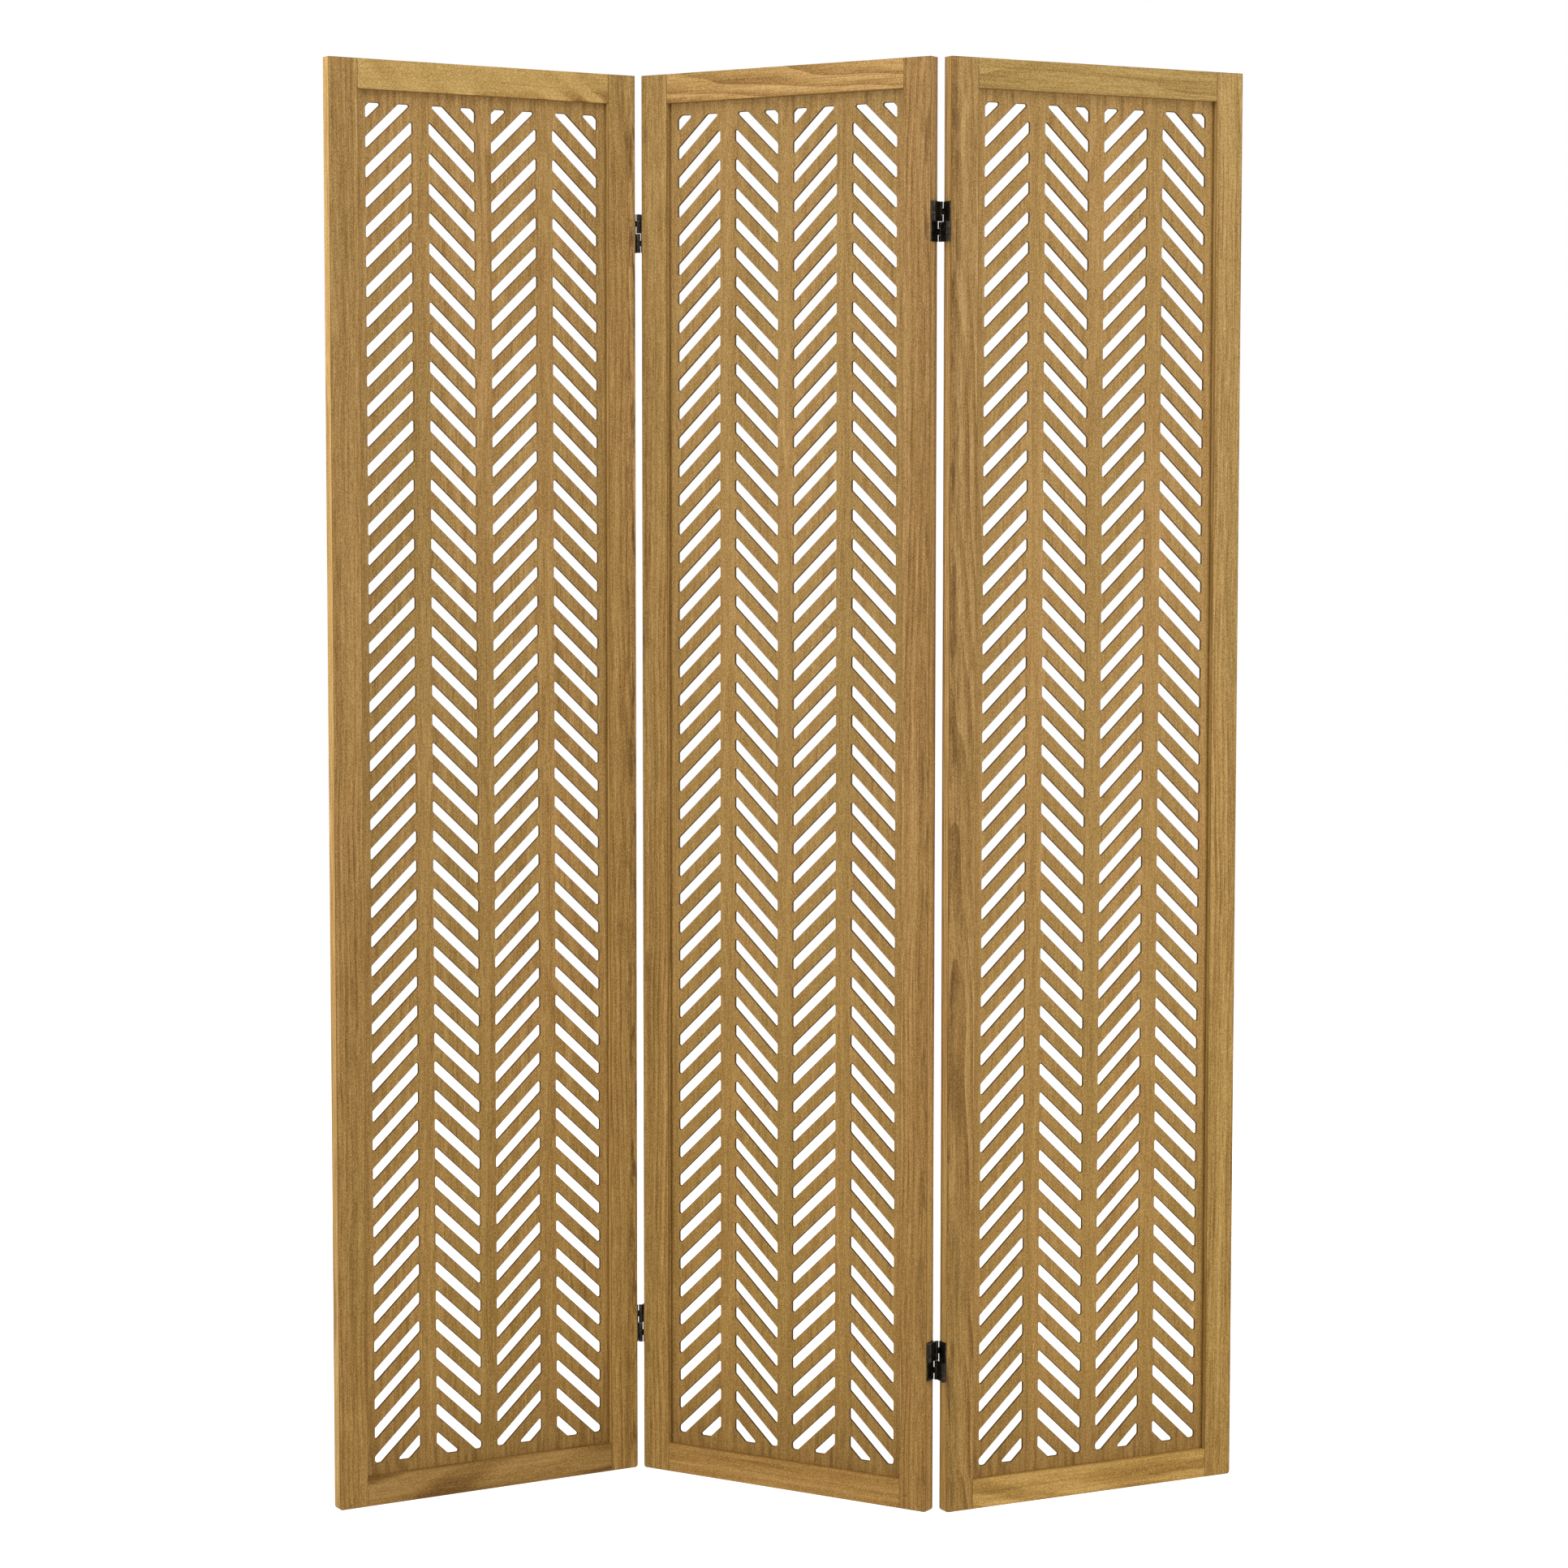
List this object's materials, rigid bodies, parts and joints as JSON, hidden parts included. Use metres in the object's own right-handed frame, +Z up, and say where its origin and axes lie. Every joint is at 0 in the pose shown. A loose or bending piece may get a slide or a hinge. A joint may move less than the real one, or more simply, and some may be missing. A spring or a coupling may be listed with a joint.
{
  "type": "folding screen",
  "caption": "Free-standing folding screen: hinged wooden frames round thin boards pierced with a herringbone of slanted slots, standing in a zig-zag to divide a room",
  "frame": {"origin": "middle of the floor rectangle round the standing screen, on the floor", "axes": "+Z up the panels, +X to the right along the standing screen's width, +Y away from the front"},
  "size_m": [1.0782, 0.2315, 1.7],
  "materials": {
    "frame_wood": "oiled golden-brown hardwood, satin, straight fine grain along each member",
    "board_wood": "oiled golden-brown veneer, satin, upright grain",
    "hinge_metal": "dark bronze, half-gloss",
    "pin_metal": "darkened steel",
    "screw_metal": "darkened steel"
  },
  "bodies": {
    "left_panel": {"left_panel_left_stile": "frame_wood", "left_panel_right_stile": "frame_wood", "left_panel_bottom_rail": "frame_wood", "left_panel_top_rail": "frame_wood", "left_panel_fretwork": "board_wood", "left_lower_hinge_left_leaf": "hinge_metal", "left_lower_hinge_lower_link": "hinge_metal", "left_lower_hinge_lower_pins": "pin_metal", "left_lower_hinge_left_screws": "screw_metal", "left_upper_hinge_left_leaf": "hinge_metal", "left_upper_hinge_lower_link": "hinge_metal", "left_upper_hinge_lower_pins": "pin_metal", "left_upper_hinge_left_screws": "screw_metal"},
    "centre_panel": {"centre_panel_left_stile": "frame_wood", "centre_panel_right_stile": "frame_wood", "centre_panel_bottom_rail": "frame_wood", "centre_panel_top_rail": "frame_wood", "centre_panel_fretwork": "board_wood", "left_lower_hinge_right_leaf": "hinge_metal", "left_lower_hinge_upper_link": "hinge_metal", "left_lower_hinge_upper_pins": "pin_metal", "left_lower_hinge_right_screws": "screw_metal", "left_upper_hinge_right_leaf": "hinge_metal", "left_upper_hinge_upper_link": "hinge_metal", "left_upper_hinge_upper_pins": "pin_metal", "left_upper_hinge_right_screws": "screw_metal", "right_lower_hinge_left_leaf": "hinge_metal", "right_lower_hinge_upper_link": "hinge_metal", "right_lower_hinge_upper_pins": "pin_metal", "right_lower_hinge_left_screws": "screw_metal", "right_upper_hinge_left_leaf": "hinge_metal", "right_upper_hinge_upper_link": "hinge_metal", "right_upper_hinge_upper_pins": "pin_metal", "right_upper_hinge_left_screws": "screw_metal"},
    "right_panel": {"right_panel_left_stile": "frame_wood", "right_panel_right_stile": "frame_wood", "right_panel_bottom_rail": "frame_wood", "right_panel_top_rail": "frame_wood", "right_panel_fretwork": "board_wood", "right_lower_hinge_right_leaf": "hinge_metal", "right_lower_hinge_lower_link": "hinge_metal", "right_lower_hinge_lower_pins": "pin_metal", "right_lower_hinge_right_screws": "screw_metal", "right_upper_hinge_right_leaf": "hinge_metal", "right_upper_hinge_lower_link": "hinge_metal", "right_upper_hinge_lower_pins": "pin_metal", "right_upper_hinge_right_screws": "screw_metal"}
  },
  "joints": [
    {"name": "left_fold", "type": "hinge", "parent": "centre_panel", "child": "left_panel", "pos_m": [-0.18484, 0.09888, 0.85], "axis": [0, 0, 1], "range_deg": [-62.4, 117.6]},
    {"name": "right_fold", "type": "hinge", "parent": "centre_panel", "child": "right_panel", "pos_m": [0.17328, -0.09836, 0.85], "axis": [0, 0, 1], "range_deg": [-58.8, 121.2]}
  ]
}
